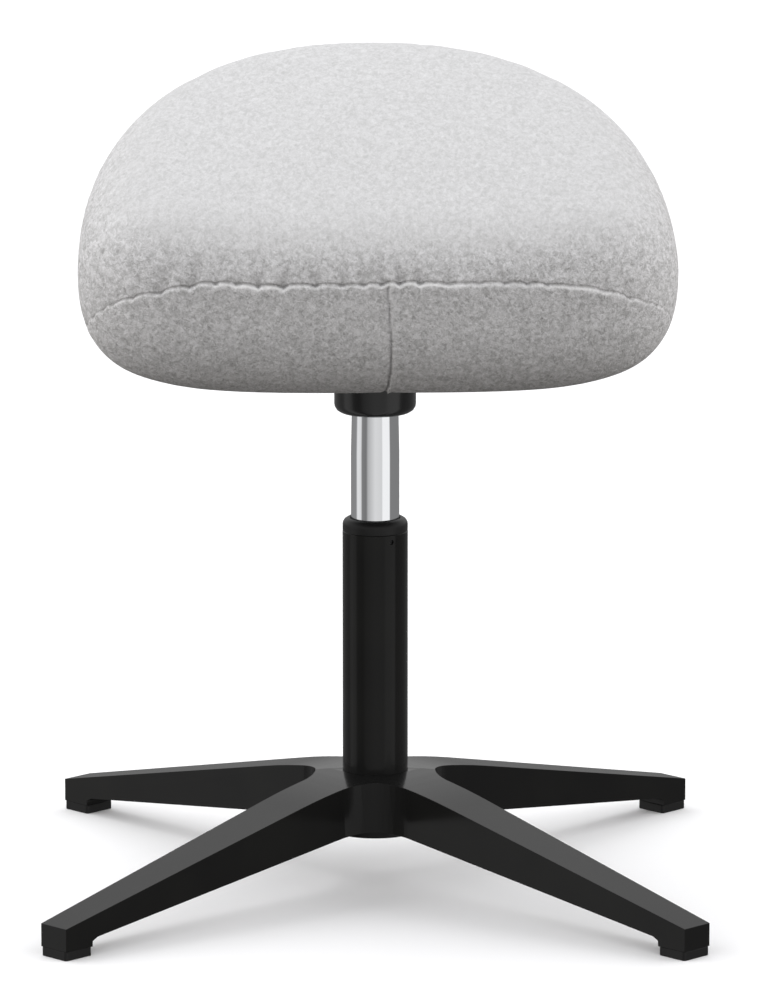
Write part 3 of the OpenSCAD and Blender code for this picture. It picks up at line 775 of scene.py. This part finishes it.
def make_sky():
    """White to the camera. In direction (x, y, z) the diffuse light is 0.91 + 1.03 x^2 - 0.1 |y|
    + z (0.08 + 0.95 |x| + 0.52 |y| - 0.75 z) + 0.8 min(z, 0) |y|, at least 0.02, a little cooler from above
    and warmer from below. Glossy rays see a ring of pale and dark cards, for the chrome to reflect, under an
    even white."""
    world = bpy.data.worlds.new("studio")
    bpy.context.scene.world = world
    world.use_nodes = True
    t = world.node_tree
    t.nodes.clear()
    way = add(t, "SeparateXYZ", {0: add(t, "TexCoord").outputs["Generated"]}).outputs
    x, y, z = way["X"], way["Y"], way["Z"]
    plus = lambda a, b: sums(t, "ADD", a, b)
    less = lambda a, b: sums(t, "SUBTRACT", a, b)
    times = lambda a, b: sums(t, "MULTIPLY", a, b)
    wide, deep = sums(t, "ABSOLUTE", x), sums(t, "ABSOLUTE", y)
    lift = plus(times(wide, 0.95), times(deep, 0.52))
    lift = times(less(plus(lift, 0.08), times(z, 0.75)), z)
    side = less(times(times(wide, wide), 1.03), times(deep, 0.1))
    low = times(times(sums(t, "MINIMUM", z, 0), deep), 0.8)
    soft = sums(t, "MAXIMUM", plus(plus(plus(side, lift), low), 0.91), 0.02)
    tint = mixed(t, plus(times(z, 0.5), 0.5), (1.07, 1.0, 0.92, 1), (0.985, 1.0, 1.035, 1))
    soft = mixed(t, 1.0, soft, tint, "MULTIPLY")
    around = plus(sums(t, "DIVIDE", sums(t, "ARCTAN2", x, times(y, -1)), 2 * math.pi), 0.5)
    cards = ramp(t, around, (0.0, "808080"), (0.215, "909090"), (0.24, "ececec"), (0.30, "e4e4e4"),
                 (0.318, "848484"), (0.380, "7c7c7c"), (0.405, "b8b8b8"), (0.50, "e2e2e2"), (0.59, "dcdcdc"),
                 (0.60, "ffffff"), (0.70, "ffffff"), (0.712, "848484"), (1.0, "808080"))
    cards = mixed(t, 1.0, cards, (1.12, 1.12, 1.12, 1), "MULTIPLY")
    up = sums(t, "MINIMUM", sums(t, "MAXIMUM", sums(t, "DIVIDE", plus(z, 0.02), 0.25), 0), 1)
    glossy = mixed(t, up, cards, (1.05, 1.05, 1.05, 1))
    path = add(t, "LightPath").outputs
    light = mixed(t, path["Is Glossy Ray"], soft, glossy)
    light = mixed(t, path["Is Camera Ray"], light, "ffffff")
    add(t, "OutputWorld", {"Surface": add(t, "Background", {"Color": light}).outputs[0]})


def make_softbox():
    """One large lamp above and a little behind the seat, aimed at the column. Places are in metres."""
    lamp = bpy.data.lights.new("overhead softbox", "AREA")
    lamp.shape, lamp.size, lamp.size_y, lamp.energy = "RECTANGLE", 1.8, 1.6, 15
    box = bpy.data.objects.new("overhead softbox", lamp)
    box.location = (-0.25, 0.35, 2.3)
    aim = -box.location + Vector((0, 0, 0.3))
    box.rotation_euler = aim.to_track_quat("-Z", "Y").to_euler()
    bpy.context.collection.objects.link(box)


def make_camera():
    """A long lens in front of the stool and above it. Places are in metres."""
    lens = bpy.data.cameras.new("camera")
    lens.sensor_width, lens.lens = 36, 281.83
    lens.clip_start, lens.clip_end = 0.1, 100
    camera = bpy.data.objects.new("camera", lens)
    bpy.context.collection.objects.link(camera)
    camera.location = (-0.0009, -5.854, 1.4895)
    look = Vector((0.0117, 0, 0.2981)) - camera.location
    camera.rotation_euler = look.to_track_quat("-Z", "Y").to_euler()
    bpy.context.scene.camera = camera


make_floor()
make_sky()
make_softbox()
make_camera()
bpy.context.scene.view_settings.view_transform = "Standard"
